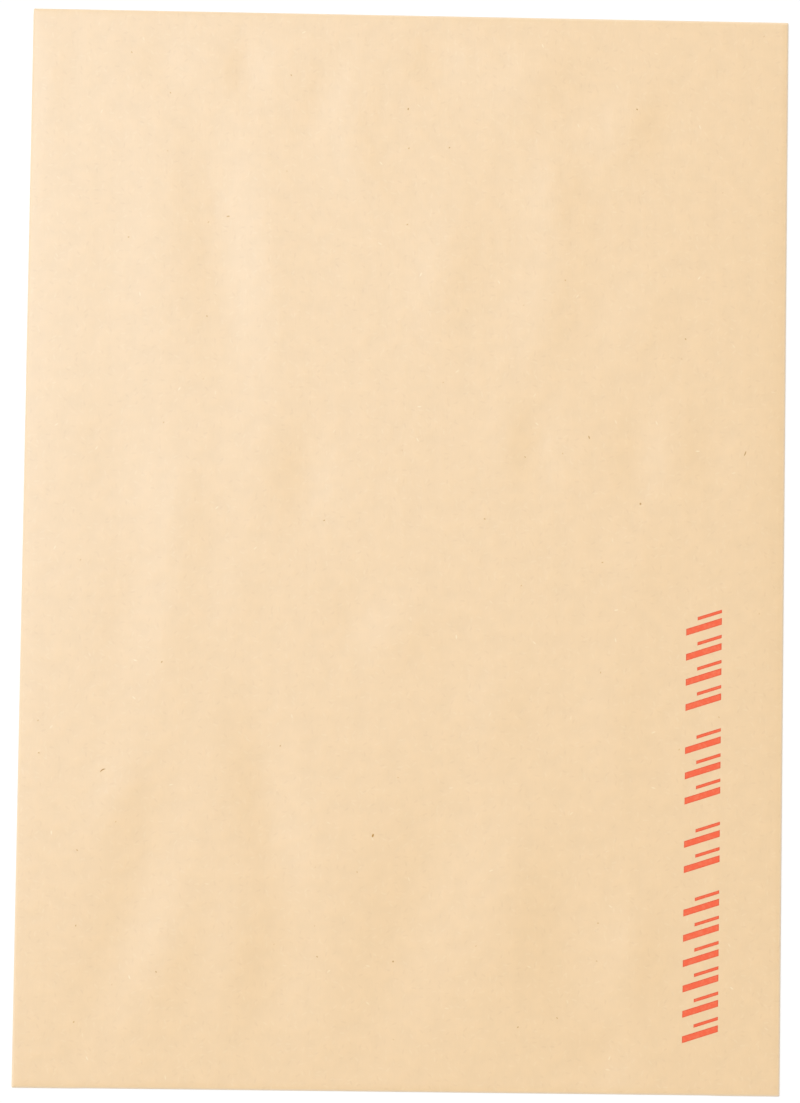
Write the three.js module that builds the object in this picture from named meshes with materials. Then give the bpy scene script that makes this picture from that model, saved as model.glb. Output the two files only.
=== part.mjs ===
// Board-backed envelope of size C4, lying on its closed flap with the paper front up.
// Millimetres, +Z up. The origin is the middle of the outline, on the surface that it lies on,
// and +Y points to the fold of the flap.
import * as THREE from "three";

// Outline
const WIDTH = 229; // outside, across
const HEIGHT = 324; // outside, from the bottom fold to the fold of the flap

// Thicknesses
const PAPER = 0.16;
const BOARD = 0.9;
const SEAM_GUM = 0.06;
const SEAL_GUM = 0.12;
const LINER = 0.07;
const LAY_GAP = 0.05; // air between the liner and the side strips above it
const POCKET = 0.4; // air between the board and the front, along the folds

// Slack front
const SLACK_RISE = 0.9; // how far its middle stands above the folds
const COCKLE_RISE = 0.22; // height of the shallow waves on top of that
const COCKLE_PITCH = 45; // from one wave to the next, across

// Strips glued to the back of the board, and the flap. Each is narrower at its free edge than at its
// fold: the taper is taken off at both ends, and the corners there are rounded.
const SIDE_STRIP_DEPTH = 17;
const SIDE_STRIP_TAPER = 9;
const SIDE_STRIP_CORNER = 3;
const BOTTOM_STRIP_DEPTH = 24;
const BOTTOM_STRIP_TAPER = 12;
const BOTTOM_STRIP_CORNER = 4;
const FLAP_DEPTH = 44;
const FLAP_TAPER = 10;
const FLAP_CORNER = 9;
const FOLD_GAP = 0.3; // slit between the fold of a side strip and the folds next to it
const STEP_DOWN = 4; // length over which the bottom strip steps from the side strips to the board

// Gum
const GUM_INSET = 3; // dry paper beside a gum line
const GUM_END = 5; // dry paper at the ends of a gum line
const SEAL_WIDTH = 14;
const SEAL_INSET = 8.5; // from the free edge of the flap to the seal
const LINER_LIP = 2.5; // how far the liner reaches past the seal on each side

// Board
const BOARD_CORNER = 1.5;
const BOARD_EDGE = 0.12; // rounding of its cut edges
const MOUTH = 1; // how far its top edge stays below the fold of the flap

// Mesh fineness
const COLUMNS = 20;
const ROWS = 26;
const TURN_STEPS = 6; // flats in each half-round fold
const CORNER_STEPS = 3; // flats in each rounded corner of a strip or the flap

// Heights of the layers, from the flap up. A "level" is the middle of a sheet of paper.
const flapLevel = PAPER / 2;
const sealBottom = PAPER;
const linerBottom = sealBottom + SEAL_GUM;
const sideStripBottom = linerBottom + LINER + LAY_GAP;
const sideLevel = sideStripBottom + PAPER / 2;
const seamGumBottom = sideStripBottom + PAPER;
const boardBottom = seamGumBottom + SEAM_GUM;
const frontLevel = boardBottom + BOARD + POCKET + PAPER / 2;
const bottomLevelOnSides = sideLevel - PAPER - SEAM_GUM;
const bottomLevelOnBoard = sideLevel;

// A fold is a half circle from the front down to the level of its strip.
const foldRadius = (level) => (frontLevel - level) / 2;
const foldStart = (edge, level) => edge - foldRadius(level) - PAPER / 2;
const sideStart = foldStart(WIDTH / 2, sideLevel);
const flapStart = foldStart(HEIGHT / 2, flapLevel);
const bottomStart = foldStart(HEIGHT / 2, bottomLevelOnSides);
const endFoldHalf = sideStart - FOLD_GAP; // half the width of the flap and the bottom strip

// Evenly spaced values from first to last.
function spread(first, last, steps) {
  return Array.from({ length: steps + 1 }, (_, step) => THREE.MathUtils.lerp(first, last, step / steps));
}

// Height of the slack front above its folds. It is zero along all four folds.
function frontRise(x, y) {
  const middle = (flapStart - bottomStart) / 2;
  const across = 1 - (x / sideStart) ** 4;
  const along = 1 - ((y - middle) / (flapStart - middle)) ** 4;
  const wave = Math.cos((2 * Math.PI * x) / COCKLE_PITCH);
  return across * along * (SLACK_RISE + COCKLE_RISE * wave);
}

// Level of the bottom strip: under the side strips near the corners, on the board between them.
function bottomLevel(x) {
  const innerEdge = sideStart - SIDE_STRIP_DEPTH;
  const share = THREE.MathUtils.smoothstep(Math.abs(x), innerEdge - STEP_DOWN, innerEdge);
  return THREE.MathUtils.lerp(bottomLevelOnBoard, bottomLevelOnSides, share);
}

// Rows of a strip from its fold to its free edge: how deep, and how wide as a share of the fold.
function stripRows({ depth, taper, corner }, half) {
  const straight = depth - corner;
  const rows = [{ depth: straight, share: 1 - (taper * straight) / (depth * half) }];
  for (const angle of spread(0, Math.PI / 2, CORNER_STEPS).slice(1)) {
    const reach = straight + corner * Math.sin(angle);
    const narrowing = (taper * reach) / depth + corner * (1 - Math.cos(angle));
    rows.push({ depth: reach, share: 1 - narrowing / half });
  }
  return rows;
}

// Grid of paper points for one fold and its strip. Each point has a place, and a normal that faces out.
// `lines` are the places along the fold, and `level` gives the height that the strip lies at.
function foldedStrip({ lines, half, start, level, strip, direction }) {
  const point = (line, angle, depth) => {
    const height = level(line);
    const radius = foldRadius(height);
    const out = start + radius * Math.sin(angle) - depth;
    const up = frontLevel - radius * (1 - Math.cos(angle));
    return {
      place: direction(line, out, up),
      normal: direction(0, Math.sin(angle), Math.cos(angle)),
    };
  };
  const turn = spread(0, Math.PI, TURN_STEPS).map((angle) => lines.map((line) => point(line, angle, 0)));
  const flat = stripRows(strip, half).map(({ depth, share }) =>
    lines.map((line) => point(line * share, Math.PI, depth)),
  );
  return [...turn, ...flat];
}

// Four-cornered faces of a grid, listed so that they face out.
function gridFaces(grid, mirrored) {
  const faces = [];
  for (let row = 0; row + 1 < grid.length; row += 1) {
    for (let column = 0; column + 1 < grid[row].length; column += 1) {
      const face = [
        grid[row][column],
        grid[row + 1][column],
        grid[row + 1][column + 1],
        grid[row][column + 1],
      ];
      faces.push(mirrored ? face.reverse() : face);
    }
  }
  return faces;
}

// Closed sheet of paper around the given middle faces: an outside, an inside and the cut edges.
function paperSolid(faces) {
  const numbers = new Map();
  const points = [];
  const numberOf = (point) => {
    const key = point.place.toArray().map((value) => value.toFixed(4)).join(" ");
    if (!numbers.has(key)) {
      numbers.set(key, points.length);
      points.push(point);
    }
    return numbers.get(key);
  };
  const quads = faces.map((face) => face.map(numberOf));
  const count = points.length;
  const position = [1, -1].flatMap((side) =>
    points.flatMap(({ place, normal }) =>
      place.clone().addScaledVector(normal, (side * PAPER) / 2).toArray(),
    ),
  );
  const index = [];
  const addQuad = (a, b, c, d) => index.push(a, b, c, a, c, d);
  const edges = new Set(quads.flatMap((quad) => quad.map((from, i) => `${from} ${quad[(i + 1) % 4]}`)));
  for (const quad of quads) {
    const [a, b, c, d] = quad;
    addQuad(a, b, c, d);
    addQuad(d + count, c + count, b + count, a + count);
    quad.forEach((from, i) => {
      const to = quad[(i + 1) % 4];
      const isCutEdge = !edges.has(`${to} ${from}`);
      if (isCutEdge) addQuad(to, from, from + count, to + count);
    });
  }
  const geometry = new THREE.BufferGeometry();
  geometry.setAttribute("position", new THREE.Float32BufferAttribute(position, 3));
  geometry.setIndex(index);
  return geometry;
}

// Paper wrapper: the front, two side strips, the bottom strip and the flap, all one sheet
function wrapperGeometry() {
  const columns = spread(-endFoldHalf, endFoldHalf, COLUMNS);
  const rows = spread(-bottomStart, flapStart, ROWS);
  const front = [-sideStart, ...columns, sideStart].map((x) =>
    rows.map((y) => ({
      place: new THREE.Vector3(x, y, frontLevel + frontRise(x, y)),
      normal: new THREE.Vector3(0, 0, 1),
    })),
  );
  const side = {
    lines: [-HEIGHT / 2, ...rows, HEIGHT / 2],
    half: HEIGHT / 2,
    start: sideStart,
    level: () => sideLevel,
    strip: { depth: SIDE_STRIP_DEPTH, taper: SIDE_STRIP_TAPER, corner: SIDE_STRIP_CORNER },
  };
  const end = { lines: columns, half: endFoldHalf };
  const right = foldedStrip({ ...side, direction: (line, out, up) => new THREE.Vector3(out, line, up) });
  const left = foldedStrip({ ...side, direction: (line, out, up) => new THREE.Vector3(-out, line, up) });
  const bottom = foldedStrip({
    ...end,
    start: bottomStart,
    level: bottomLevel,
    strip: { depth: BOTTOM_STRIP_DEPTH, taper: BOTTOM_STRIP_TAPER, corner: BOTTOM_STRIP_CORNER },
    direction: (line, out, up) => new THREE.Vector3(line, -out, up),
  });
  const flap = foldedStrip({
    ...end,
    start: flapStart,
    level: () => flapLevel,
    strip: { depth: FLAP_DEPTH, taper: FLAP_TAPER, corner: FLAP_CORNER },
    direction: (line, out, up) => new THREE.Vector3(line, out, up),
  });
  return paperSolid([
    ...gridFaces(front, false),
    ...gridFaces(right, false),
    ...gridFaces(bottom, false),
    ...gridFaces(left, true),
    ...gridFaces(flap, true),
  ]);
}

// Backing board: a plate with rounded corners and slightly rounded cut edges
function boardGeometry() {
  const right = sideStart - BOARD_EDGE - BOARD_CORNER;
  const low = -bottomStart + BOARD_EDGE + BOARD_CORNER;
  const high = flapStart - MOUTH - BOARD_EDGE - BOARD_CORNER;
  const outline = new THREE.Shape();
  outline.absarc(right, low, BOARD_CORNER, -Math.PI / 2, 0);
  outline.absarc(right, high, BOARD_CORNER, 0, Math.PI / 2);
  outline.absarc(-right, high, BOARD_CORNER, Math.PI / 2, Math.PI);
  outline.absarc(-right, low, BOARD_CORNER, Math.PI, 1.5 * Math.PI);
  return new THREE.ExtrudeGeometry(outline, {
    depth: BOARD - 2 * BOARD_EDGE,
    bevelThickness: BOARD_EDGE,
    bevelSize: BOARD_EDGE,
    bevelSegments: 2,
    curveSegments: CORNER_STEPS,
  });
}

const standard = (color, roughness) => new THREE.MeshStandardMaterial({ color, roughness, metalness: 0 });

const envelope = new THREE.Group();
envelope.name = "board_backed_envelope";

function addPiece(name, geometry, material, x, y, z) {
  const mesh = new THREE.Mesh(geometry, material);
  mesh.name = name;
  mesh.position.set(x, y, z);
  envelope.add(mesh);
}

// Flat rectangular piece, with its lower face at the given height
function addStrip(name, material, { width, length, thickness, x, y, bottom }) {
  const geometry = new THREE.BoxGeometry(width, length, thickness);
  addPiece(name, geometry, material, x, y, bottom + thickness / 2);
}

addPiece("paper_wrapper", wrapperGeometry(), standard("#f3d6ae", 0.8), 0, 0, 0);
addPiece("backing_board", boardGeometry(), standard("#b39c7d", 0.95), 0, 0, boardBottom + BOARD_EDGE);

// Gum lines between the strips and the board
const sideSeamMiddle = sideStart - SIDE_STRIP_DEPTH / 2;
const sideGum = {
  width: SIDE_STRIP_DEPTH - 2 * GUM_INSET,
  length: HEIGHT - 2 * (SIDE_STRIP_TAPER + SIDE_STRIP_CORNER + GUM_END),
  thickness: SEAM_GUM,
  y: 0,
  bottom: seamGumBottom,
};
addStrip("left_seam_gum", standard("#e6d3a3", 0.4), { ...sideGum, x: -sideSeamMiddle });
addStrip("right_seam_gum", standard("#e6d3a3", 0.4), { ...sideGum, x: sideSeamMiddle });
addStrip("bottom_seam_gum", standard("#e6d3a3", 0.4), {
  width: 2 * (sideStart - SIDE_STRIP_DEPTH - STEP_DOWN - GUM_END),
  length: BOTTOM_STRIP_DEPTH - 2 * GUM_INSET,
  thickness: SEAM_GUM,
  x: 0,
  y: -bottomStart + BOTTOM_STRIP_DEPTH / 2,
  bottom: seamGumBottom,
});

// Seal inside the flap, and the liner that covers it
const seal = {
  width: 2 * (endFoldHalf - FLAP_TAPER - GUM_END),
  x: 0,
  y: flapStart - FLAP_DEPTH + SEAL_INSET + SEAL_WIDTH / 2,
};
addStrip("seal_gum", standard("#efe6c8", 0.3), {
  ...seal,
  length: SEAL_WIDTH,
  thickness: SEAL_GUM,
  bottom: sealBottom,
});
addStrip("release_liner", standard("#f2eee0", 0.35), {
  ...seal,
  length: SEAL_WIDTH + 2 * LINER_LIP,
  thickness: LINER,
  bottom: linerBottom,
});

export default envelope;
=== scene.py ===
import math

import bpy
import numpy as np
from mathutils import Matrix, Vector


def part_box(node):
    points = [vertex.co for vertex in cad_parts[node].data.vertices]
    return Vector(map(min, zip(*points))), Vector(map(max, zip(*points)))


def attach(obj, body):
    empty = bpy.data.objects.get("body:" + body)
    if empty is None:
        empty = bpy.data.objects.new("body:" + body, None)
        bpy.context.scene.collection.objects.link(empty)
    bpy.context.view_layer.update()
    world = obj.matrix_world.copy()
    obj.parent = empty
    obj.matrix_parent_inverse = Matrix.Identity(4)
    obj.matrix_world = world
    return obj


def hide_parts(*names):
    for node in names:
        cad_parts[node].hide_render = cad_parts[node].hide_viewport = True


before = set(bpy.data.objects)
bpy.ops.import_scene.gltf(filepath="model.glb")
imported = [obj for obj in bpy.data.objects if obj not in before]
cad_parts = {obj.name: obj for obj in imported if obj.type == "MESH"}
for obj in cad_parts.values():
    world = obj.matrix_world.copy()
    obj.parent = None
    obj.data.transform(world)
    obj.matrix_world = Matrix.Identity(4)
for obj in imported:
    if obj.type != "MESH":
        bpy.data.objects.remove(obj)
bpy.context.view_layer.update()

# A board-backed envelope lies on its closed flap with its paper front up. Lengths are in metres.
MM = 0.001

# Sizes that the solids give
wrapper_low, wrapper_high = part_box("paper_wrapper")
_, board_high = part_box("backing_board")
seal_low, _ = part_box("seal_gum")
seam_gum_low, seam_gum_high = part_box("right_seam_gum")
HALF_WIDTH = wrapper_high[0]
HALF_HEIGHT = wrapper_high[1]
PAPER = seal_low[2] - wrapper_low[2]
SEAM_GUM = seam_gum_high[2] - seam_gum_low[2]

# Strips, flap and slack front of the paper, as in the part's source
POCKET = 0.4 * MM
SIDE_STRIP = {"depth": 17 * MM, "taper": 9 * MM, "corner": 3 * MM}
BOTTOM_STRIP = {"depth": 24 * MM, "taper": 12 * MM, "corner": 4 * MM}
FLAP = {"depth": 44 * MM, "taper": 10 * MM, "corner": 9 * MM}
STEP_DOWN = 4 * MM

# Heights of the middle of the paper, and the places where its folds start
flap_level = PAPER / 2
side_level = seam_gum_low[2] - PAPER / 2
bottom_level_on_sides = side_level - PAPER - SEAM_GUM
front_level = board_high[2] + POCKET + PAPER / 2


def fold_radius(level):
    """Radius of the half-round fold from the front down to a strip at this level."""
    return (front_level - level) / 2


side_start = HALF_WIDTH - fold_radius(side_level) - PAPER / 2
flap_start = HALF_HEIGHT - fold_radius(flap_level) - PAPER / 2
bottom_start = HALF_HEIGHT - fold_radius(bottom_level_on_sides) - PAPER / 2

# Fineness of the paper's mesh
FRONT_COLUMNS = 140
FRONT_ROWS = 180
TURN_STEPS = 12
STRIP_STEPS = 5
CORNER_STEPS = 6

# Corners between two folds: how many of a fold's steps they go down, how many parts they have round the
# corner, and their plan, which 2 would make round and a high value nearly square
CAP_STEPS = 10
CAP_SECTORS = 10
CAP_SQUARENESS = 6

# Stands for the distance from a cut edge wherever that no longer matters
FAR_FROM_CUT = 4 * MM


def hex_colour(text):
    """Linear colour, with alpha, of an sRGB value such as #f0cfa2."""
    shares = [int(text[i : i + 2], 16) / 255 for i in (1, 3, 5)]
    return (*[s / 12.92 if s <= 0.04045 else ((s + 0.055) / 1.055) ** 2.4 for s in shares], 1.0)


def add(tree, kind, values=(), **settings):
    """Adds one node. values gives its inputs by name or number, as plain values or other nodes' outputs."""
    made = tree.nodes.new(kind)
    for name, setting in settings.items():
        setattr(made, name, setting)
    for socket, value in dict(values).items():
        if isinstance(value, bpy.types.NodeSocket):
            tree.links.new(value, made.inputs[socket])
        else:
            made.inputs[socket].default_value = value
    return made


def spaced(first, last, steps):
    """Evenly spaced values from first to last."""
    return [first + (last - first) * step / steps for step in range(steps + 1)]


def plain_piece(name, source):
    """New object with the finished mesh of source, which is removed with its modifiers."""
    graph = bpy.context.evaluated_depsgraph_get()
    evaluated = source.evaluated_get(graph)
    mesh = bpy.data.meshes.new_from_object(evaluated, preserve_all_data_layers=True, depsgraph=graph)
    mesh.name = name
    left_over = source.data
    bpy.data.objects.remove(source)
    bpy.data.meshes.remove(left_over)
    piece = bpy.data.objects.new(name, mesh)
    bpy.context.collection.objects.link(piece)
    return piece


# Slack front. Cockles are shallow ridges and valleys where the paper isn't quite flat: place of the
# middle, half length and half width in millimetres, lean to the right in degrees, height in millimetres.
COCKLES = [
    (-57, 88, 26, 7, -6, -0.52),
    (-73, 88, 26, 7, 0, 0.06),
    (-43, 86, 24, 6, -6, 0.22),
    (-89, 85, 25, 6, 0, -0.14),
    (-50, 145, 7, 4, 0, -0.34),
    (-75, 146, 6, 5, 0, -0.25),
    (-110, 138, 13, 3, 0, 0.2),
    (-17, 127, 10, 4.5, 0, 0.2),
    (-27, 137, 10, 4, 22, -0.2),
    (-13, 111, 7, 4, -40, 0.15),
    (8, 148, 7, 5, 0, -0.3),
    (37, 143, 10, 7, 40, 0.4),
    (66, 129, 9, 6, 30, 0.4),
    (76, 129, 6, 4, 20, -0.15),
    (43.5, 107, 9, 5, 0, 0.36),
    (42, 74, 15, 6, 12, 0.34),
    (11, 84, 14, 6, 8, 0.32),
    (30, 33, 8, 4, 0, 0.16),
    (39, 31, 9, 4.5, 0, -0.26),
    (70, 28, 10, 4.5, 0, -0.26),
    (81, 31, 9, 5, 0, 0.16),
    (92, 30, 9, 5, 0, -0.18),
    (70, 70, 10, 6, 25, 0.2),
    (-30, 22, 10, 5, 0, -0.33),
    (-44, 22, 14, 7, 0, 0.24),
    (-68, 10, 11, 5, 0, 0.3),
    (-87, 24, 14, 7, 0, -0.28),
    (70, -4, 10, 5, 0, 0.18),
    (-84, -22, 16, 5, 5, -0.2),
    (-70, -24, 16, 5, 5, 0.22),
    (-1, -25, 8, 6, 35, 0.25),
    (28, -48, 9, 5, 0, 0.25),
    (-15, -22, 7, 5, 0, -0.2),
    (-50, -14, 8, 4, 0, 0.15),
    (63, -46, 10, 5, 0, 0.2),
    (66, -64, 10, 5, 0, 0.15),
    (-39.5, -78, 20, 6, -12, -0.82),
    (-85, -76, 10, 4.5, 22, 0.28),
    (-81.5, -112, 27, 5.5, 17, -0.42),
    (-69, -122, 14, 5, 15, 0.36),
    (-50, -124, 14, 5, 5, 0.3),
    (-36, -127, 13, 7, 0, -0.48),
    (3, -112, 25, 9, 15, -0.58),
    (34, -104, 18, 8, 8, 0.42),
    (50, -122, 22, 8, -14, -0.6),
    (70, -120, 10, 4.5, 0, 0.44),
    (62, -152, 6, 5, 0, -0.4),
]
SLACK_RISE = 0.5 * MM
SIDE_RISE = 0.3 * MM
SIDE_REACH = 4 * MM
COCKLE_REACH = 4 * MM


def front_rise(x, y):
    """Height of the slack front above its folds, for arrays of places. It is zero along the folds."""
    middle = (flap_start - bottom_start) / 2
    half = flap_start - middle
    from_side = side_start - np.abs(x)
    from_end = half - np.abs(y - middle)
    from_edge = np.minimum(from_side, from_end)
    bow = SLACK_RISE * (1 - (x / side_start) ** 4)
    swell = SIDE_RISE * (1 - np.exp(-from_side / SIDE_REACH))
    rise = (bow + swell) * (1 - ((y - middle) / half) ** 2)
    cockles = np.zeros_like(rise)
    for place_x, place_y, half_length, half_width, lean, height in COCKLES:
        turn = math.radians(lean)
        off_x = x / MM - place_x
        off_y = y / MM - place_y
        across = off_x * math.cos(turn) - off_y * math.sin(turn)
        along = off_x * math.sin(turn) + off_y * math.cos(turn)
        cockles += height * np.exp(-0.5 * ((across / half_width) ** 2 + (along / half_length) ** 2))
    return rise + MM * cockles * (1 - np.exp(-from_edge / COCKLE_REACH))


def bottom_level(x):
    """Level of the bottom strip: under the side strips near the corners, on the board between them."""
    inner_edge = side_start - SIDE_STRIP["depth"]
    share = min(max((abs(x) - inner_edge + STEP_DOWN) / STEP_DOWN, 0), 1)
    return side_level + (bottom_level_on_sides - side_level) * share * share * (3 - 2 * share)


def strip_rows(depth, taper, corner, half):
    """Rows of a strip past its fold: how deep, and how wide as a share of the fold."""
    straight = depth - corner
    rows = [(deep, 1 - taper * deep / depth / half) for deep in spaced(0, straight, STRIP_STEPS)[1:]]
    for angle in spaced(0, math.pi / 2, CORNER_STEPS)[1:]:
        deep = straight + corner * math.sin(angle)
        narrowing = taper * deep / depth + corner * (1 - math.cos(angle))
        rows.append((deep, 1 - narrowing / half))
    return rows


def cut_blank():
    """Flat sheet as it is cut, with the front in the middle. Each point holds what its fold needs."""
    numbers = {}
    points = []
    faces = []

    def number(place, direction, start, radius, reach=None, from_cut=FAR_FROM_CUT):
        key = (round(place[0] / MM, 4), round(place[1] / MM, 4))
        if key not in numbers:
            numbers[key] = len(points)
            points.append((*place, *direction, start, radius, reach or radius, from_cut))
        return numbers[key]

    def add_faces(grid, mirrored):
        for near, far in zip(grid, grid[1:]):
            for i in range(len(near) - 1):
                # The rows of a corner share their first point, which a face takes once
                face = list(dict.fromkeys((near[i], far[i], far[i + 1], near[i + 1])))
                faces.append(face[::-1] if mirrored else face)

    def add_strip(direction, lines, half, start, level, strip, mirrored):
        longest_turn = math.pi * max(fold_radius(level(line)) for line in lines)
        fold_end = start + longest_turn
        rows = [(out, 1) for out in spaced(start, fold_end, TURN_STEPS)]
        rows += [(fold_end + deep, share) for deep, share in strip_rows(**strip, half=half)]
        grid = []
        for out, share in rows:
            row = []
            for line in lines:
                along = line * share
                place = (direction[0] * out, along) if direction[0] else (along, direction[1] * out)
                to_sides = min(along - lines[0] * share, lines[-1] * share - along)
                to_cut = min(to_sides, fold_end + strip["depth"] - out)
                from_cut = to_cut if out > fold_end else FAR_FROM_CUT
                row.append(number(place, direction, start, fold_radius(level(along)), from_cut=from_cut))
            grid.append(row)
        add_faces(grid, mirrored)

    def add_corner(side, end, end_start, end_radius):
        side_radius = fold_radius(side_level)
        grid = []
        for angle in spaced(0, math.pi / 2, CAP_SECTORS):
            sine = math.sin(angle)
            cosine = math.cos(angle)
            direction = (side * cosine, end * sine)
            radius = side_radius * cosine**2 + end_radius * sine**2
            start = side_start * cosine + end_start * sine
            outline = (cosine / side_radius) ** CAP_SQUARENESS + (sine / end_radius) ** CAP_SQUARENESS
            reach = outline ** (-1 / CAP_SQUARENESS)
            row = []
            for step in range(CAP_STEPS + 1):
                out = math.pi * radius * step / TURN_STEPS
                place = (side * side_start + direction[0] * out, end * end_start + direction[1] * out)
                row.append(number(place, direction if step else (0, 0), start, radius, reach))
            grid.append(row)
        add_faces(grid, side * end > 0)

    # The front isn't folded: its points have no direction, so their start and radius can be any value
    columns = spaced(-side_start, side_start, FRONT_COLUMNS)
    rows = spaced(-bottom_start, flap_start, FRONT_ROWS)
    front = [[number((x, y), (0, 0), 1, 1) for y in rows] for x in columns]
    add_faces(front, False)
    for side in (1, -1):
        add_strip((side, 0), rows, flap_start, side_start, lambda _: side_level, SIDE_STRIP, side < 0)
    add_strip((0, -1), columns, side_start, bottom_start, bottom_level, BOTTOM_STRIP, False)
    add_strip((0, 1), columns, side_start, flap_start, lambda _: flap_level, FLAP, True)
    for side in (1, -1):
        add_corner(side, 1, flap_start, fold_radius(flap_level))
        add_corner(side, -1, bottom_start, fold_radius(bottom_level_on_sides))

    x, y, direction_x, direction_y, start, radius, reach, from_cut = np.array(points).T
    is_front = (direction_x == 0) & (direction_y == 0)
    zeros = np.zeros_like(x)
    flat = np.stack([x, y, zeros], axis=1)
    mesh = bpy.data.meshes.new("flat_blank")
    mesh.from_pydata(flat.tolist(), [], faces)
    turned = (x * direction_x + y * direction_y - start) / radius
    attributes = {
        "flat_sheet": ("FLOAT_VECTOR", "vector", flat),
        "crease": ("FLOAT", "value", np.where(is_front, 0, np.sin(np.clip(turned, 0, math.pi)))),
        "from_cut": ("FLOAT", "value", from_cut),
        "fold_direction": ("FLOAT_VECTOR", "vector", np.stack([direction_x, direction_y, zeros], axis=1)),
        "fold_start": ("FLOAT", "value", start),
        "fold_radius": ("FLOAT", "value", radius),
        "fold_reach": ("FLOAT", "value", reach),
        "rise": ("FLOAT", "value", np.where(is_front, front_rise(x, y), 0)),
    }
    for name, (kind, field, values) in attributes.items():
        attribute = mesh.attributes.new(name, kind, "POINT")
        attribute.data.foreach_set(field, np.ascontiguousarray(values, dtype=np.float32).ravel())
    blank = bpy.data.objects.new("flat_blank", mesh)
    bpy.context.collection.objects.link(blank)
    return blank


def new_tree(name, inputs):
    """Geometry node tree with these named inputs, given as name to kind of socket."""
    tree = bpy.data.node_groups.new(name, "GeometryNodeTree")
    tree.interface.new_socket("Geometry", in_out="INPUT", socket_type="NodeSocketGeometry")
    for socket_name, kind in inputs.items():
        tree.interface.new_socket(socket_name, in_out="INPUT", socket_type=kind)
    tree.interface.new_socket("Geometry", in_out="OUTPUT", socket_type="NodeSocketGeometry")
    return tree


def run_tree(obj, tree, values):
    """Puts the tree on obj as a modifier and sets its inputs by their sockets' identifiers."""
    modifier = obj.modifiers.new(tree.name, "NODES")
    modifier.node_group = tree
    for socket in tree.interface.items_tree:
        if socket.in_out == "INPUT" and socket.name in values:
            modifier[socket.identifier] = values[socket.name]


def fold_tree():
    """Folds a flat blank. A point past its fold's start goes round a half circle, then back underneath."""
    tree = new_tree("fold_the_blank", {"Front height": "NodeSocketFloat", "Paper": "NodeSocketMaterial"})
    given = add(tree, "NodeGroupInput").outputs
    place = add(tree, "GeometryNodeInputPosition").outputs["Position"]

    # What each point of the blank holds
    held = []
    for name in ("fold_direction", "fold_start", "fold_radius", "fold_reach", "rise"):
        kind = "FLOAT_VECTOR" if name == "fold_direction" else "FLOAT"
        read = add(tree, "GeometryNodeInputNamedAttribute", {"Name": name}, data_type=kind)
        held.append(read.outputs["Attribute"])
    direction, start, radius, bulge, rise = held

    # How far round the fold the point is, and how far past its end
    out = add(
        tree, "ShaderNodeVectorMath", {0: place, 1: direction}, operation="DOT_PRODUCT"
    ).outputs["Value"]
    past = add(tree, "ShaderNodeMath", {0: out, 1: start}, operation="SUBTRACT").outputs[0]
    raw_angle = add(tree, "ShaderNodeMath", {0: past, 1: radius}, operation="DIVIDE").outputs[0]
    angle = add(tree, "ShaderNodeClamp", {"Value": raw_angle, "Min": 0.0, "Max": math.pi}).outputs[0]
    turn_length = add(tree, "ShaderNodeMath", {0: radius, 1: math.pi}, operation="MULTIPLY").outputs[0]
    raw_over = add(tree, "ShaderNodeMath", {0: past, 1: turn_length}, operation="SUBTRACT").outputs[0]
    over = add(tree, "ShaderNodeMath", {0: raw_over, 1: 0.0}, operation="MAXIMUM").outputs[0]

    # Where that is, measured out from the middle of the sheet
    kept = add(tree, "ShaderNodeMath", {0: out, 1: start}, operation="MINIMUM").outputs[0]
    sine = add(tree, "ShaderNodeMath", {0: angle}, operation="SINE").outputs[0]
    reach = add(tree, "ShaderNodeMath", {0: bulge, 1: sine, 2: kept}, operation="MULTIPLY_ADD").outputs[0]
    end = add(tree, "ShaderNodeMath", {0: reach, 1: over}, operation="SUBTRACT").outputs[0]
    change = add(tree, "ShaderNodeMath", {0: end, 1: out}, operation="SUBTRACT").outputs[0]
    slide = add(tree, "ShaderNodeVectorMath", {0: direction, "Scale": change}, operation="SCALE").outputs[0]

    # How high it is
    cosine = add(tree, "ShaderNodeMath", {0: angle}, operation="COSINE").outputs[0]
    drop = add(tree, "ShaderNodeMath", {0: cosine, 1: 1.0}, operation="SUBTRACT").outputs[0]
    lifted = add(tree, "ShaderNodeMath", {0: rise, 1: given["Front height"]}, operation="ADD").outputs[0]
    height = add(
        tree, "ShaderNodeMath", {0: radius, 1: drop, 2: lifted}, operation="MULTIPLY_ADD"
    ).outputs[0]
    up = add(tree, "ShaderNodeCombineXYZ", {"Z": height}).outputs[0]
    offset = add(tree, "ShaderNodeVectorMath", {0: slide, 1: up}, operation="ADD").outputs[0]

    flat = given["Geometry"]
    folded = add(tree, "GeometryNodeSetPosition", {"Geometry": flat, "Offset": offset}).outputs[0]
    smooth = add(tree, "GeometryNodeSetShadeSmooth", {"Geometry": folded, "Shade Smooth": True}).outputs[0]
    whole = add(tree, "GeometryNodeRealizeInstances", {"Geometry": smooth}).outputs[0]
    paper = given["Paper"]
    dressed = add(tree, "GeometryNodeSetMaterial", {"Geometry": whole, "Material": paper}).outputs[0]
    add(tree, "NodeGroupOutput", {"Geometry": dressed})
    return tree


def new_material(name, **surface):
    """Material with a Principled surface, whose plain values are given by socket name with _ for a space."""
    material = bpy.data.materials.new(name)
    material.use_nodes = True
    shader = material.node_tree.nodes["Principled BSDF"]
    for socket, value in surface.items():
        shader.inputs[socket.replace("_", " ")].default_value = value
    return material, material.node_tree, shader.inputs


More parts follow.
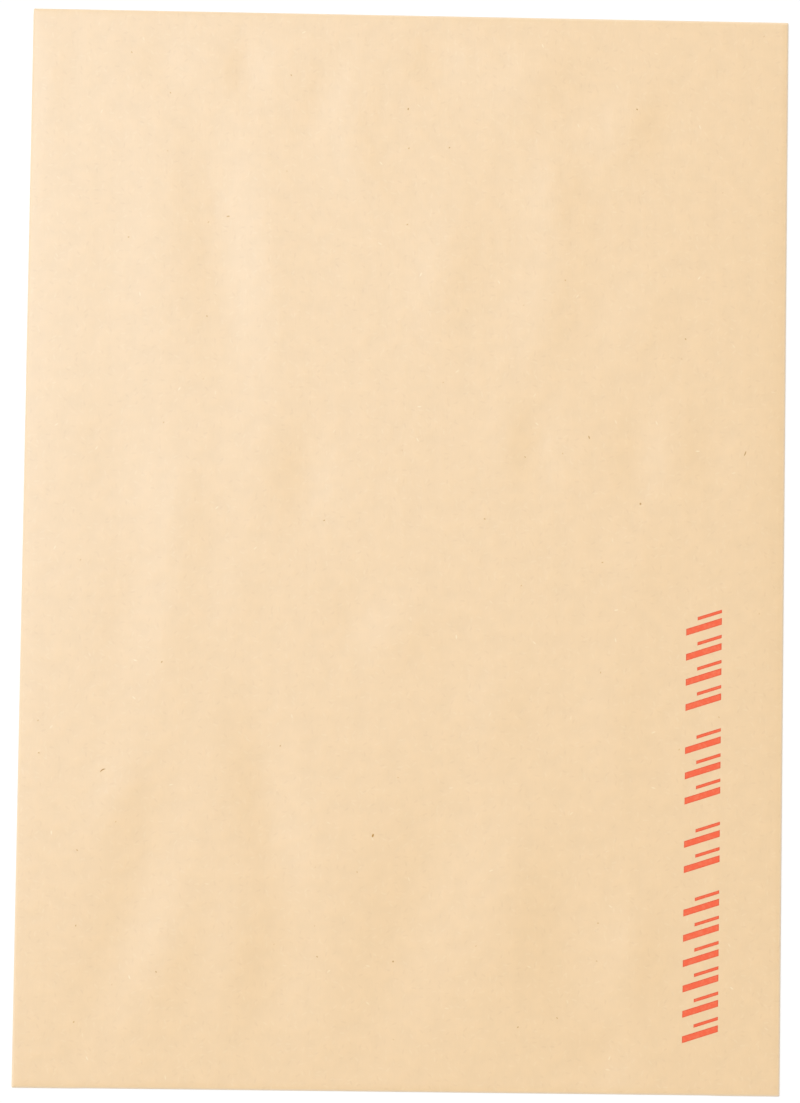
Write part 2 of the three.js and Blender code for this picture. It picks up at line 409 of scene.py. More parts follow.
# Finish of the paper. Depth is the range of shades of a pattern, and relief its height in millimetres.
PAPER_COLOUR = "#f5cf99"
PAPER_SHEEN = (0.42, 0.72, 1.0, 1)
PAPER_ROUGHNESS = 0.52
PAPER_IOR = 2.03
PLAIN_SHINE = 0.5
DARK_WITHOUT_SHINE = 0.3
FLECK_COLOUR = "#8a5a14"
AMBER_COLOUR = "#a57300"
PALE_BIT_COLOUR = "#ffe2b6"
FIBRE_COLOUR = "#c08a48"
# Pale tone of worn fibres, also used as painted highlight on the folds and cut edges
WORN_AND_HIGHLIGHT_COLOUR = "#fff0d8"
GRAIN_PER_MM = (2.0, 0.33, 1.0)
GRAIN_DEPTH = 0.023
GRAIN_RELIEF = 0.01
CLOUDS_PER_MM = 0.2
CLOUD_DEPTH = 0.08
CLOUD_RELIEF = 0.08
# Paling of folds and cut edges towards that tone: partly worn fibres, partly painted highlight and sheen
CREASE_WEAR_AND_HIGHLIGHT = 0.5
CUT_WEAR_AND_HIGHLIGHT = 0.6
CUT_PALE_BAND_WIDTH = 0.8 * MM

# Dark bits that show most in the paper: place, length and width in millimetres, lean from upright in
# degrees, how far it bends in millimetres, how strong it is, and its tone. Each is at full strength up
# to this share of its middle.
FLECK_CORE = 0.3
FLECKS = [
    (-8.2, -85.8, 1.3, 0.62, 20, 0.0, 0.78, AMBER_COLOUR),
    (-89.2, -67.3, 2.2, 0.4, 58, -0.35, 0.64, FLECK_COLOUR),
    (102.3, 30.4, 1.9, 0.4, 22, 0.1, 0.58, FLECK_COLOUR),
    (70.8, 14.7, 0.8, 0.7, 0, 0.0, 0.5, FLECK_COLOUR),
    (55.1, 34.5, 1.2, 0.45, -20, 0.0, 0.48, FLECK_COLOUR),
    (-54.6, 99.6, 1.2, 0.45, 80, 0.0, 0.38, FLECK_COLOUR),
    (-0.8, 133.2, 0.8, 0.5, 15, 0.0, 0.54, FLECK_COLOUR),
    (-1.6, -123.2, 0.65, 0.6, 0, 0.0, 0.52, FLECK_COLOUR),
    (68.5, 134.3, 0.7, 0.45, -35, 0.0, 0.62, FLECK_COLOUR),
]

# Scattered bits and fibres: cell, length and width in millimetres, share that shows, strength of the
# strongest, tone and shift of the cells. Real fibres are far thinner, and these are drawn as coarse as
# they need to show. Each is at full strength up to this share of its middle.
BIT_CORE = 0.5
SCATTERED_BITS = [
    (12.0, 0.75, 0.45, 0.14, 0.5, FLECK_COLOUR, 0.0),
    (12.0, 1.6, 0.52, 0.25, 1.0, PALE_BIT_COLOUR, 500.0),
    (2.6, 2.0, 0.7, 0.7, 0.088, FIBRE_COLOUR, 250.0),
    (2.3, 2.2, 0.7, 0.7, 0.21, PALE_BIT_COLOUR, 750.0),
]


def manila_paper():
    """Smooth brown-yellow paper: fine upright grain, clouds, fibres, dark bits and a pale cool sheen."""
    material, tree, surface = new_material("manila_paper", IOR=PAPER_IOR, Roughness=PAPER_ROUGHNESS)
    surface["Specular Tint"].default_value = PAPER_SHEEN
    flat = add(tree, "ShaderNodeAttribute", attribute_name="flat_sheet").outputs["Vector"]
    place = add(tree, "ShaderNodeVectorMath", {0: flat, "Scale": 1 / MM}, operation="SCALE").outputs[0]

    # Grain of upright dashes about 0.5 by 3 mm, and clouds about 5 mm across
    dashes = add(tree, "ShaderNodeVectorMath", {0: place, 1: GRAIN_PER_MM}, operation="MULTIPLY").outputs[0]
    grain = add(
        tree, "ShaderNodeTexNoise", {"Vector": dashes, "Scale": 1.0, "Detail": 2.0}, noise_dimensions="2D"
    ).outputs["Fac"]
    cloud = add(
        tree,
        "ShaderNodeTexNoise",
        {"Vector": place, "Scale": CLOUDS_PER_MM, "Detail": 2.0},
        noise_dimensions="2D",
    ).outputs["Fac"]
    grain_shade = add(
        tree, "ShaderNodeMath", {0: grain, 1: GRAIN_DEPTH, 2: 1 - GRAIN_DEPTH / 2}, operation="MULTIPLY_ADD"
    ).outputs[0]
    cloud_shade = add(
        tree, "ShaderNodeMath", {0: cloud, 1: CLOUD_DEPTH, 2: 1 - CLOUD_DEPTH / 2}, operation="MULTIPLY_ADD"
    ).outputs[0]
    shade = add(tree, "ShaderNodeMath", {0: grain_shade, 1: cloud_shade}, operation="MULTIPLY").outputs[0]
    colour = add(
        tree, "ShaderNodeVectorMath", {0: hex_colour(PAPER_COLOUR)[:3], "Scale": shade}, operation="SCALE"
    ).outputs[0]

    # Scattered bits and fibres: one short stroke in each cell, from the strongest to too faint to show
    dark = 0.0
    for cell, length, width, shown, strength, tone, shift in SCATTERED_BITS:
        moved = add(
            tree, "ShaderNodeVectorMath", {0: place, 1: (shift, shift, 0.0)}, operation="ADD"
        ).outputs[0]
        cells = add(
            tree, "ShaderNodeTexVoronoi", {"Vector": moved, "Scale": 1 / cell}, voronoi_dimensions="2D"
        ).outputs
        chance = add(tree, "ShaderNodeSeparateColor", {"Color": cells["Color"]}).outputs
        lean = add(tree, "ShaderNodeMath", {0: chance[1], 1: math.tau}, operation="MULTIPLY").outputs[0]
        off = add(
            tree, "ShaderNodeVectorMath", {0: moved, 1: cells["Position"]}, operation="SUBTRACT"
        ).outputs[0]
        turned = add(tree, "ShaderNodeVectorRotate", {"Vector": off, "Angle": lean}, rotation_type="Z_AXIS")
        shares = add(
            tree,
            "ShaderNodeVectorMath",
            {0: turned.outputs[0], 1: (2 / width, 2 / length, 0.0)},
            operation="MULTIPLY",
        ).outputs[0]
        reach = add(tree, "ShaderNodeVectorMath", {0: shares}, operation="LENGTH").outputs["Value"]
        spot = add(
            tree,
            "ShaderNodeMapRange",
            {"Value": reach, "From Min": BIT_CORE, "From Max": 1.0, "To Min": 1.0, "To Max": 0.0},
        ).outputs[0]
        depth = add(
            tree,
            "ShaderNodeMapRange",
            {"Value": chance[0], "From Min": 1 - shown, "From Max": 1.0, "To Min": 0.0, "To Max": strength},
        ).outputs[0]
        amount = add(tree, "ShaderNodeMath", {0: spot, 1: depth}, operation="MULTIPLY").outputs[0]
        colour = add(
            tree, "ShaderNodeMix", {0: amount, 6: colour, 7: hex_colour(tone)}, data_type="RGBA"
        ).outputs[2]
        # Dark bits take the shine away, the others don't
        if tone == FLECK_COLOUR:
            dark = amount

    # Listed bits: each is a short bent stroke
    for x, y, length, width, lean, bend, strength, tone in FLECKS:
        off = add(tree, "ShaderNodeVectorMath", {0: place, 1: (x, y, 0.0)}, operation="SUBTRACT").outputs[0]
        angle = math.radians(lean)
        turned = add(tree, "ShaderNodeVectorRotate", {"Vector": off, "Angle": angle}, rotation_type="Z_AXIS")
        parts = add(tree, "ShaderNodeSeparateXYZ", {0: turned.outputs[0]}).outputs
        along = add(tree, "ShaderNodeMath", {0: parts["Y"], 1: 2 / length}, operation="MULTIPLY").outputs[0]
        square = add(tree, "ShaderNodeMath", {0: along, 1: 2.0}, operation="POWER").outputs[0]
        across = add(
            tree, "ShaderNodeMath", {0: square, 1: bend, 2: parts["X"]}, operation="MULTIPLY_ADD"
        ).outputs[0]
        thick = add(tree, "ShaderNodeMath", {0: across, 1: 2 / width}, operation="MULTIPLY").outputs[0]
        reach = add(
            tree, "ShaderNodeMath", {0: thick, 1: thick, 2: square}, operation="MULTIPLY_ADD"
        ).outputs[0]
        spot = add(
            tree,
            "ShaderNodeMapRange",
            {"Value": reach, "From Min": FLECK_CORE, "From Max": 1.0, "To Min": strength, "To Max": 0.0},
        ).outputs[0]
        colour = add(
            tree, "ShaderNodeMix", {0: spot, 6: colour, 7: hex_colour(tone)}, data_type="RGBA"
        ).outputs[2]
        dark = add(tree, "ShaderNodeMath", {0: dark, 1: spot}, operation="MAXIMUM").outputs[0]

    # Folds and cut edges are paler: partly crushed and opened fibres, partly painted highlight and painted
    # sheen standing in for how they catch the light
    crease = add(tree, "ShaderNodeAttribute", attribute_name="crease").outputs["Fac"]
    crushed_and_lit = add(tree, "ShaderNodeMath", {0: crease, 1: CREASE_WEAR_AND_HIGHLIGHT}, operation="MULTIPLY").outputs[0]
    # Pale band along the cut edges: partly opened fibres, partly a painted highlight of the lit cut edge
    from_cut = add(tree, "ShaderNodeAttribute", attribute_name="from_cut").outputs["Fac"]
    opened_and_lit = add(
        tree,
        "ShaderNodeMapRange",
        {"Value": from_cut, "From Min": 0.0, "From Max": CUT_PALE_BAND_WIDTH, "To Min": CUT_WEAR_AND_HIGHLIGHT, "To Max": 0.0},
    ).outputs[0]
    wear_and_highlight = add(tree, "ShaderNodeMath", {0: crushed_and_lit, 1: opened_and_lit}, operation="MAXIMUM").outputs[0]
    colour = add(
        tree, "ShaderNodeMix", {0: wear_and_highlight, 6: colour, 7: hex_colour(WORN_AND_HIGHLIGHT_COLOUR)}, data_type="RGBA"
    ).outputs[2]

    # Low relief all over, and no shine on the dark bits
    swells = add(tree, "ShaderNodeMath", {0: cloud, 1: CLOUD_RELIEF}, operation="MULTIPLY").outputs[0]
    relief = add(
        tree, "ShaderNodeMath", {0: grain, 1: GRAIN_RELIEF, 2: swells}, operation="MULTIPLY_ADD"
    ).outputs[0]
    bumps = add(tree, "ShaderNodeBump", {"Height": relief, "Distance": MM, "Strength": 1.0}).outputs[0]
    shine = add(
        tree,
        "ShaderNodeMapRange",
        {"Value": dark, "From Max": DARK_WITHOUT_SHINE, "To Min": PLAIN_SHINE, "To Max": 0.0},
    ).outputs[0]
    tree.links.new(colour, surface["Base Color"])
    tree.links.new(shine, surface["Specular IOR Level"])
    tree.links.new(bumps, surface["Normal"])
    return material


# Finish of the board, whose fibres refract as those of the liner do
FIBRE_IOR = 1.45
BOARD_DARK_COLOUR = "#a08a6d"
BOARD_PALE_COLOUR = "#c4af91"
BOARD_ROUGHNESS = 0.92
FELT_RANGE = (0.25, 0.75)
FELT_RELIEF = 0.06 * MM
STRANDS_PER_MM = (2.4, 0.3, 1.0)
STRAND_RANGE = (0.62, 0.74)

# Its strands: turn in radians, tone and strength
STRANDS = [(0.5, "#7b6650", 0.5), (-0.7, "#ddcdb2", 0.45)]


def grey_chipboard():
    """Board pressed from waste paper: a matt grey-brown felt of short pale and dark fibres."""
    material, tree, surface = new_material("grey_chipboard", IOR=FIBRE_IOR, Roughness=BOARD_ROUGHNESS)
    own = add(tree, "ShaderNodeTexCoord").outputs["Object"]
    place = add(tree, "ShaderNodeVectorMath", {0: own, "Scale": 1 / MM}, operation="SCALE").outputs[0]

    # Felt of clumps about 1 mm across
    felt = add(
        tree, "ShaderNodeTexNoise", {"Vector": place, "Scale": 1.0, "Detail": 5.0, "Roughness": 0.6}
    ).outputs["Fac"]
    spread = add(
        tree, "ShaderNodeMapRange", {"Value": felt, "From Min": FELT_RANGE[0], "From Max": FELT_RANGE[1]}
    ).outputs[0]
    colour = add(
        tree,
        "ShaderNodeMix",
        {0: spread, 6: hex_colour(BOARD_DARK_COLOUR), 7: hex_colour(BOARD_PALE_COLOUR)},
        data_type="RGBA",
    ).outputs[2]

    # Strands about 0.4 by 3 mm in two directions, dark ones and pale ones
    for turn, tone, amount in STRANDS:
        turned = add(
            tree, "ShaderNodeVectorRotate", {"Vector": place, "Angle": turn}, rotation_type="Z_AXIS"
        ).outputs[0]
        drawn = add(
            tree, "ShaderNodeVectorMath", {0: turned, 1: STRANDS_PER_MM}, operation="MULTIPLY"
        ).outputs[0]
        strand = add(tree, "ShaderNodeTexNoise", {"Vector": drawn, "Scale": 1.0, "Detail": 1.0})
        shown = add(
            tree,
            "ShaderNodeMapRange",
            {
                "Value": strand.outputs["Fac"],
                "From Min": STRAND_RANGE[0],
                "From Max": STRAND_RANGE[1],
                "To Max": amount,
            },
        ).outputs[0]
        colour = add(
            tree, "ShaderNodeMix", {0: shown, 6: colour, 7: hex_colour(tone)}, data_type="RGBA"
        ).outputs[2]

    bumps = add(
        tree, "ShaderNodeBump", {"Height": felt, "Distance": FELT_RELIEF, "Strength": 1.0}
    ).outputs[0]
    tree.links.new(colour, surface["Base Color"])
    tree.links.new(bumps, surface["Normal"])
    return material


# Finish of the gum
SEAM_GUM_COLOUR = "#e6d3a3"
SEAM_GUM_ROUGHNESS = 0.4
SEAM_STREAKS_PER_MM = (0.3, 0.3, 1.0)
SEAL_GUM_COLOUR = "#efe6c8"
SEAL_GUM_ROUGHNESS = 0.3
SEAL_STREAKS_PER_MM = (0.1, 0.7, 1.0)
GUM_IOR = 1.47
GUM_SHADES = (0.86, 1.1)
GUM_GLOSS_CHANGE = 0.12
GUM_RELIEF = 0.03 * MM


def gum(name, colour, roughness, streaks_per_mm):
    """Film of gum as a roller leaves it: smooth and yellowish, with faint streaks."""
    material, tree, surface = new_material(name, IOR=GUM_IOR, Roughness=roughness)
    own = add(tree, "ShaderNodeTexCoord").outputs["Object"]
    place = add(tree, "ShaderNodeVectorMath", {0: own, "Scale": 1 / MM}, operation="SCALE").outputs[0]
    drawn = add(tree, "ShaderNodeVectorMath", {0: place, 1: streaks_per_mm}, operation="MULTIPLY").outputs[0]
    film = add(tree, "ShaderNodeTexNoise", {"Vector": drawn, "Scale": 1.0, "Detail": 3.0}).outputs["Fac"]
    shade = add(
        tree, "ShaderNodeMapRange", {"Value": film, "To Min": GUM_SHADES[0], "To Max": GUM_SHADES[1]}
    ).outputs[0]
    tone = add(
        tree, "ShaderNodeVectorMath", {0: hex_colour(colour)[:3], "Scale": shade}, operation="SCALE"
    ).outputs[0]
    gloss = add(
        tree,
        "ShaderNodeMapRange",
        {"Value": film, "To Min": roughness - GUM_GLOSS_CHANGE, "To Max": roughness + GUM_GLOSS_CHANGE},
    ).outputs[0]
    bumps = add(tree, "ShaderNodeBump", {"Height": film, "Distance": GUM_RELIEF, "Strength": 1.0}).outputs[0]
    tree.links.new(tone, surface["Base Color"])
    tree.links.new(gloss, surface["Roughness"])
    tree.links.new(bumps, surface["Normal"])
    return material


# Finish of the liner
LINER_DARK_COLOUR = "#e9e4d4"
LINER_PALE_COLOUR = "#f7f4e9"
LINER_ROUGHNESS = 0.34
LINER_GRAIN_PER_MM = (0.4, 1.6, 1.0)
LINER_RELIEF = 0.01 * MM


def silicone_liner():
    """Thin off-white paper with a silicone coat: smooth and a little glossy, with a faint cross grain."""
    material, tree, surface = new_material(
        "silicone_coated_liner", IOR=FIBRE_IOR, Roughness=LINER_ROUGHNESS
    )
    own = add(tree, "ShaderNodeTexCoord").outputs["Object"]
    place = add(tree, "ShaderNodeVectorMath", {0: own, "Scale": 1 / MM}, operation="SCALE").outputs[0]
    drawn = add(
        tree, "ShaderNodeVectorMath", {0: place, 1: LINER_GRAIN_PER_MM}, operation="MULTIPLY"
    ).outputs[0]
    grain = add(tree, "ShaderNodeTexNoise", {"Vector": drawn, "Scale": 1.0, "Detail": 3.0}).outputs["Fac"]
    colour = add(
        tree,
        "ShaderNodeMix",
        {0: grain, 6: hex_colour(LINER_DARK_COLOUR), 7: hex_colour(LINER_PALE_COLOUR)},
        data_type="RGBA",
    ).outputs[2]
    bumps = add(
        tree, "ShaderNodeBump", {"Height": grain, "Distance": LINER_RELIEF, "Strength": 1.0}
    ).outputs[0]
    tree.links.new(colour, surface["Base Color"])
    tree.links.new(bumps, surface["Normal"])
    return material


# Finish of the ink
INK_COLOUR = "#fa6a48"
INK_THIN_COLOUR = "#f98c66"
INK_RIM_COLOUR = "#e05a3a"
INK_IOR = 1.3
INK_ROUGHNESS = 0.6
INK_PATCH_RANGE = (0.45, 0.8)
INK_PATCH_STRENGTH = 0.6
INK_RIM = 0.35 * MM


def red_ink():
    """Red ink on uncoated paper: flat and matt, thinner where the paper drank it, darker at its rim."""
    material, tree, surface = new_material("printed_red_ink", IOR=INK_IOR, Roughness=INK_ROUGHNESS)
    own = add(tree, "ShaderNodeTexCoord").outputs["Object"]
    place = add(tree, "ShaderNodeVectorMath", {0: own, "Scale": 1 / MM}, operation="SCALE").outputs[0]

    # Patches of thin ink about 1 mm across
    patch = add(tree, "ShaderNodeTexNoise", {"Vector": place, "Scale": 1.0, "Detail": 3.0}).outputs["Fac"]
    thin = add(
        tree,
        "ShaderNodeMapRange",
        {
            "Value": patch,
            "From Min": INK_PATCH_RANGE[0],
            "From Max": INK_PATCH_RANGE[1],
            "To Max": INK_PATCH_STRENGTH,
        },
    ).outputs[0]
    colour = add(
        tree,
        "ShaderNodeMix",
        {0: thin, 6: hex_colour(INK_COLOUR), 7: hex_colour(INK_THIN_COLOUR)},
        data_type="RGBA",
    ).outputs[2]

    # Rim where the printing plate squeezed the ink outwards
    from_edge = add(tree, "ShaderNodeAttribute", attribute_name="from_edge").outputs["Vector"]
    inside = add(tree, "ShaderNodeSeparateXYZ", {0: from_edge}).outputs
    nearest = add(tree, "ShaderNodeMath", {0: inside["X"], 1: inside["Y"]}, operation="MINIMUM").outputs[0]
    rim = add(
        tree,
        "ShaderNodeMapRange",
        {"Value": nearest, "From Min": 0.0, "From Max": INK_RIM, "To Min": 1.0, "To Max": 0.0},
    ).outputs[0]
    colour = add(
        tree, "ShaderNodeMix", {0: rim, 6: colour, 7: hex_colour(INK_RIM_COLOUR)}, data_type="RGBA"
    ).outputs[2]
    tree.links.new(colour, surface["Base Color"])
    return material


# Row of printed bars along the right edge: pairs of a thick bar and a thin one, in four groups
PRINT_SIZES = {
    "Pairs": 15,
    "Pitch": 7.53 * MM,
    "Group gap": 5.4 * MM,
    "Long bar": 10.7 * MM,
    "Short bar": 7.3 * MM,
    "Thick": 2.0 * MM,
    "Between": 1.5 * MM,
    "Thin": 1.0 * MM,
    "Slant": math.tan(math.radians(18)),
    "Foot": (90.35 * MM, -144.6 * MM, 0.0),
    "Lift": 0.003 * MM,
}
GROUP_STARTS = (6, 8, 11)
BAR_POINTS = (13, 4)
INK_FILM = 0.015 * MM

# Rays that lay the bars on the sheet: how far above they start, and their length
RAY_START = (0.0, 0.0, 20 * MM)
RAY_LENGTH = 30 * MM


def print_row_tree():
    """Pairs of slanted bars on a line, laid on the sheet from above."""
    kinds = {int: "NodeSocketInt", float: "NodeSocketFloat", tuple: "NodeSocketVector"}
    inputs = {name: kinds[type(value)] for name, value in PRINT_SIZES.items()}
    inputs["Sheet"] = "NodeSocketObject"
    inputs["Ink"] = "NodeSocketMaterial"
    tree = new_tree("printed_row", inputs)
    given = add(tree, "NodeGroupInput").outputs

    # Feet of the pairs, with a wider step at the start of each group
    step = add(tree, "ShaderNodeCombineXYZ", {"Y": given["Pitch"]}).outputs[0]
    line = add(tree, "GeometryNodeMeshLine", {"Count": given["Pairs"], "Offset": step}).outputs[0]
    index = add(tree, "GeometryNodeInputIndex").outputs[0]
    gaps = 0.0
    for first in GROUP_STARTS:
        past = add(tree, "ShaderNodeMath", {0: index, 1: first - 0.5}, operation="GREATER_THAN").outputs[0]
        gap = given["Group gap"]
        gaps = add(tree, "ShaderNodeMath", {0: past, 1: gap, 2: gaps}, operation="MULTIPLY_ADD").outputs[0]
    further = add(tree, "ShaderNodeCombineXYZ", {"Y": gaps}).outputs[0]
    feet = add(tree, "GeometryNodeSetPosition", {"Geometry": line, "Offset": further}).outputs[0]

    # One pair. The short bar is flush with the long one at the right.
    long_bar = given["Long bar"]
    short_bar = given["Short bar"]
    thick = given["Thick"]
    thin = given["Thin"]
    long_middle = add(tree, "ShaderNodeMath", {0: thick, 1: 0.5}, operation="MULTIPLY").outputs[0]
    long_place = add(tree, "ShaderNodeCombineXYZ", {"Y": long_middle}).outputs[0]
    spare = add(tree, "ShaderNodeMath", {0: long_bar, 1: short_bar}, operation="SUBTRACT").outputs[0]
    right = add(tree, "ShaderNodeMath", {0: spare, 1: 0.5}, operation="MULTIPLY").outputs[0]
    upper = add(tree, "ShaderNodeMath", {0: thick, 1: given["Between"]}, operation="ADD").outputs[0]
    short_middle = add(
        tree, "ShaderNodeMath", {0: thin, 1: 0.5, 2: upper}, operation="MULTIPLY_ADD"
    ).outputs[0]
    short_place = add(tree, "ShaderNodeCombineXYZ", {"X": right, "Y": short_middle}).outputs[0]
    pair = add(tree, "GeometryNodeJoinGeometry")
    columns, rows = BAR_POINTS
    for length, width, place in ((long_bar, thick, long_place), (short_bar, thin, short_place)):
        bar = add(
            tree,
            "GeometryNodeMeshGrid",
            {"Size X": length, "Size Y": width, "Vertices X": columns, "Vertices Y": rows},
        ).outputs[0]
        size = add(tree, "ShaderNodeCombineXYZ", {"X": length, "Y": width}).outputs[0]
        half = add(tree, "ShaderNodeVectorMath", {0: size, "Scale": 0.5}, operation="SCALE").outputs[0]
        own = add(tree, "GeometryNodeInputPosition").outputs[0]
        off = add(tree, "ShaderNodeVectorMath", {0: own}, operation="ABSOLUTE").outputs[0]
        from_edge = add(tree, "ShaderNodeVectorMath", {0: half, 1: off}, operation="SUBTRACT").outputs[0]
        marked = add(
            tree,
            "GeometryNodeStoreNamedAttribute",
            {"Geometry": bar, "Name": "from_edge", "Value": from_edge},
            data_type="FLOAT_VECTOR",
            domain="POINT",
        ).outputs[0]
        moved = add(tree, "GeometryNodeTransform", {"Geometry": marked, "Translation": place}).outputs[0]
        tree.links.new(moved, pair.inputs[0])
    point = add(tree, "GeometryNodeInputPosition").outputs[0]
    along = add(tree, "ShaderNodeSeparateXYZ", {0: point}).outputs["X"]
    shear = add(tree, "ShaderNodeMath", {0: along, 1: given["Slant"]}, operation="MULTIPLY").outputs[0]
    shift = add(tree, "ShaderNodeCombineXYZ", {"Y": shear}).outputs[0]
    slanted = add(tree, "GeometryNodeSetPosition", {"Geometry": pair.outputs[0], "Offset": shift}).outputs[0]

    # All pairs, put in place and laid on the sheet
    row = add(tree, "GeometryNodeInstanceOnPoints", {"Points": feet, "Instance": slanted}).outputs[0]
    bars = add(tree, "GeometryNodeRealizeInstances", {"Geometry": row}).outputs[0]
    placed = add(tree, "GeometryNodeTransform", {"Geometry": bars, "Translation": given["Foot"]}).outputs[0]
    sheet = add(tree, "GeometryNodeObjectInfo", {"Object": given["Sheet"]}).outputs["Geometry"]
    above = add(tree, "ShaderNodeVectorMath", {0: point, 1: RAY_START}, operation="ADD").outputs[0]
    hit = add(
        tree,
        "GeometryNodeRaycast",
        {
            "Target Geometry": sheet,
            "Source Position": above,
            "Ray Direction": (0.0, 0.0, -1.0),
            "Ray Length": RAY_LENGTH,
        },
    ).outputs["Hit Position"]
    lift = add(tree, "ShaderNodeCombineXYZ", {"Z": given["Lift"]}).outputs[0]
    laid = add(
        tree, "GeometryNodeSetPosition", {"Geometry": placed, "Position": hit, "Offset": lift}
    ).outputs[0]
    smooth = add(tree, "GeometryNodeSetShadeSmooth", {"Geometry": laid, "Shade Smooth": True}).outputs[0]
    dressed = add(tree, "GeometryNodeSetMaterial", {"Geometry": smooth, "Material": given["Ink"]}).outputs[0]
    add(tree, "NodeGroupOutput", {"Geometry": dressed})
    return tree


SHARP_ANGLE = math.radians(40)

paper = manila_paper()
blank = cut_blank()
run_tree(blank, fold_tree(), {"Front height": front_level, "Paper": paper})
thickness = blank.modifiers.new("thickness", "SOLIDIFY")
thickness.thickness = PAPER
thickness.offset = 0
wrapper = plain_piece("folded_wrapper", blank)
wrapper.data.set_sharp_from_angle(angle=SHARP_ANGLE)
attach(wrapper, "root")
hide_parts("paper_wrapper")

bars = bpy.data.objects.new("bars", bpy.data.meshes.new("bars"))
bpy.context.collection.objects.link(bars)
run_tree(bars, print_row_tree(), {**PRINT_SIZES, "Sheet": wrapper, "Ink": red_ink()})
film = bars.modifiers.new("film", "SOLIDIFY")
film.thickness = INK_FILM
film.offset = 1
print_row = plain_piece("printed_bars", bars)
print_row.data.set_sharp_from_angle(angle=SHARP_ANGLE)
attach(print_row, "root")

# Solids that keep their shape get their finish here
seam_gum = gum("dried_seam_gum", SEAM_GUM_COLOUR, SEAM_GUM_ROUGHNESS, SEAM_STREAKS_PER_MM)
seal_gum = gum("tacky_seal_gum", SEAL_GUM_COLOUR, SEAL_GUM_ROUGHNESS, SEAL_STREAKS_PER_MM)
finishes = {
    "backing_board": grey_chipboard(),
    "left_seam_gum": seam_gum,
    "right_seam_gum": seam_gum,
    "bottom_seam_gum": seam_gum,
    "seal_gum": seal_gum,
    "release_liner": silicone_liner(),
}
for node, finish in finishes.items():
    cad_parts[node].material_slots[0].material = finish


def seen_background(tree):
    """1 for the rays that see the white background: those of the camera, mirrors and glass."""
    rays = add(tree, "ShaderNodeLightPath").outputs
    seen = rays["Is Camera Ray"]
    for kind in ("Is Glossy Ray", "Is Transmission Ray"):
        seen = add(tree, "ShaderNodeMath", {0: seen, 1: rays[kind]}, operation="MAXIMUM").outputs[0]
    return seen


# Floor. Seen from above it is white and holds a faint shadow. Every other ray passes through it, so
# that light from below reaches the back of the envelope and views from below show it.
FLOOR_HALF = 0.8
FLOOR_DROP = 0.2 * MM
FLOOR_GLOW = 0.84
FLOOR_SHADE = 0.2
signs = [(-1, -1), (1, -1), (1, 1), (-1, 1)]
corners = [(x * FLOOR_HALF, y * FLOOR_HALF, -FLOOR_DROP) for x, y in signs]
floor_mesh = bpy.data.meshes.new("floor")
floor_mesh.from_pydata(corners, [], [(0, 1, 2, 3)])
floor = bpy.data.objects.new("floor", floor_mesh)
bpy.context.collection.objects.link(floor)
floor_material = bpy.data.materials.new("white_floor")
floor_material.use_nodes = True
tree = floor_material.node_tree
tree.nodes.clear()
seen = seen_background(tree)
below = add(tree, "ShaderNodeNewGeometry").outputs["Backfacing"]
shown = add(tree, "ShaderNodeMath", {0: seen, 1: below}, operation="SUBTRACT", use_clamp=True).outputs[0]
glow = add(tree, "ShaderNodeEmission", {"Color": (1, 1, 1, 1), "Strength": FLOOR_GLOW}).outputs[0]
shade = add(tree, "ShaderNodeBsdfDiffuse", {"Color": (FLOOR_SHADE, FLOOR_SHADE, FLOOR_SHADE, 1)}).outputs[0]
white = add(tree, "ShaderNodeAddShader", {0: glow, 1: shade}).outputs[0]
clear = add(tree, "ShaderNodeBsdfTransparent").outputs[0]
either = add(tree, "ShaderNodeMixShader", {0: shown, 1: clear, 2: white}).outputs[0]
add(tree, "ShaderNodeOutputMaterial", {"Surface": either})
floor_mesh.materials.append(floor_material)

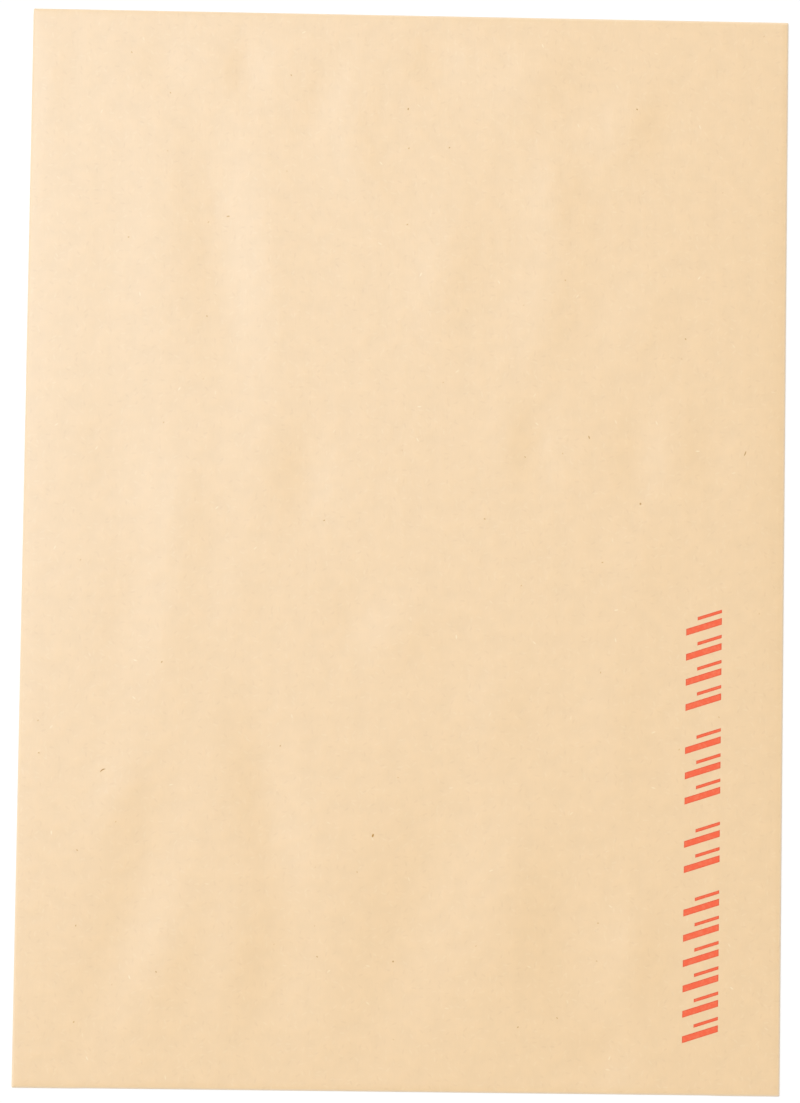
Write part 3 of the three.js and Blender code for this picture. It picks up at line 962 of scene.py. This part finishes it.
# Light. A soft fill comes from all round, strongest from the sides. One large lamp at the upper left has a
# broad reflection that pales that side of the sheet, and a weak lamp below lights the back.
FILL_COLOUR = (1.0, 0.99, 0.98, 1)
CEILING_LIGHT = 0.34
WALL_LIGHT = 1.3
FLOOR_LIGHT = 0.4
WALL_REACH = 0.5
LAMP_COLOUR = (0.98, 0.99, 1.0)
KEY_PLACE = (-1.7, 1.23, 4.78)
KEY_SIZE = 2.0
KEY_WATTS = 177.4
UNDER_PLACE = (-1.2, 0.8, -2.4)
UNDER_SIZE = 1.0
UNDER_WATTS = 34
world = bpy.data.worlds.new("studio")
world.use_nodes = True
tree = world.node_tree
tree.nodes.clear()
seen = seen_background(tree)
way = add(tree, "ShaderNodeTexCoord").outputs["Generated"]
height = add(tree, "ShaderNodeSeparateXYZ", {0: way}).outputs["Z"]
above = add(
    tree,
    "ShaderNodeMapRange",
    {"Value": height, "From Max": WALL_REACH, "To Min": WALL_LIGHT, "To Max": CEILING_LIGHT},
).outputs[0]
below = add(
    tree,
    "ShaderNodeMapRange",
    {
        "Value": height,
        "From Min": -WALL_REACH,
        "From Max": 0.0,
        "To Min": FLOOR_LIGHT - WALL_LIGHT,
        "To Max": 0.0,
    },
).outputs[0]
strength = add(tree, "ShaderNodeMath", {0: above, 1: below}, operation="ADD").outputs[0]
fill = add(tree, "ShaderNodeBackground", {"Color": FILL_COLOUR, "Strength": strength}).outputs[0]
white = add(tree, "ShaderNodeBackground", {"Color": (1, 1, 1, 1), "Strength": 1.0}).outputs[0]
either = add(tree, "ShaderNodeMixShader", {0: seen, 1: fill, 2: white}).outputs[0]
add(tree, "ShaderNodeOutputWorld", {"Surface": either})
bpy.context.scene.world = world

for name, place, size, watts in (
    ("key", KEY_PLACE, KEY_SIZE, KEY_WATTS),
    ("under", UNDER_PLACE, UNDER_SIZE, UNDER_WATTS),
):
    lamp_data = bpy.data.lights.new(name, "AREA")
    lamp_data.energy = watts
    lamp_data.size = size
    lamp_data.color = LAMP_COLOUR
    lamp = bpy.data.objects.new(name, lamp_data)
    lamp.location = place
    lamp.rotation_euler = (-lamp.location).to_track_quat("-Z", "Y").to_euler()
    bpy.context.collection.objects.link(lamp)

# Camera, nearly straight above
CAMERA_PLACE_MM = (-15.7, -33.1, 782.1)
CAMERA_TURN_DEGREES = (2.361, -1.091, 0.837)
SENSOR_MM = 36
LENS_MM = 84.86
camera_data = bpy.data.cameras.new("camera")
camera_data.sensor_width = SENSOR_MM
camera_data.lens = LENS_MM
camera = bpy.data.objects.new("camera", camera_data)
camera.location = [value * MM for value in CAMERA_PLACE_MM]
camera.rotation_euler = [math.radians(value) for value in CAMERA_TURN_DEGREES]
bpy.context.collection.objects.link(camera)
bpy.context.scene.camera = camera
bpy.context.scene.view_settings.view_transform = "Standard"
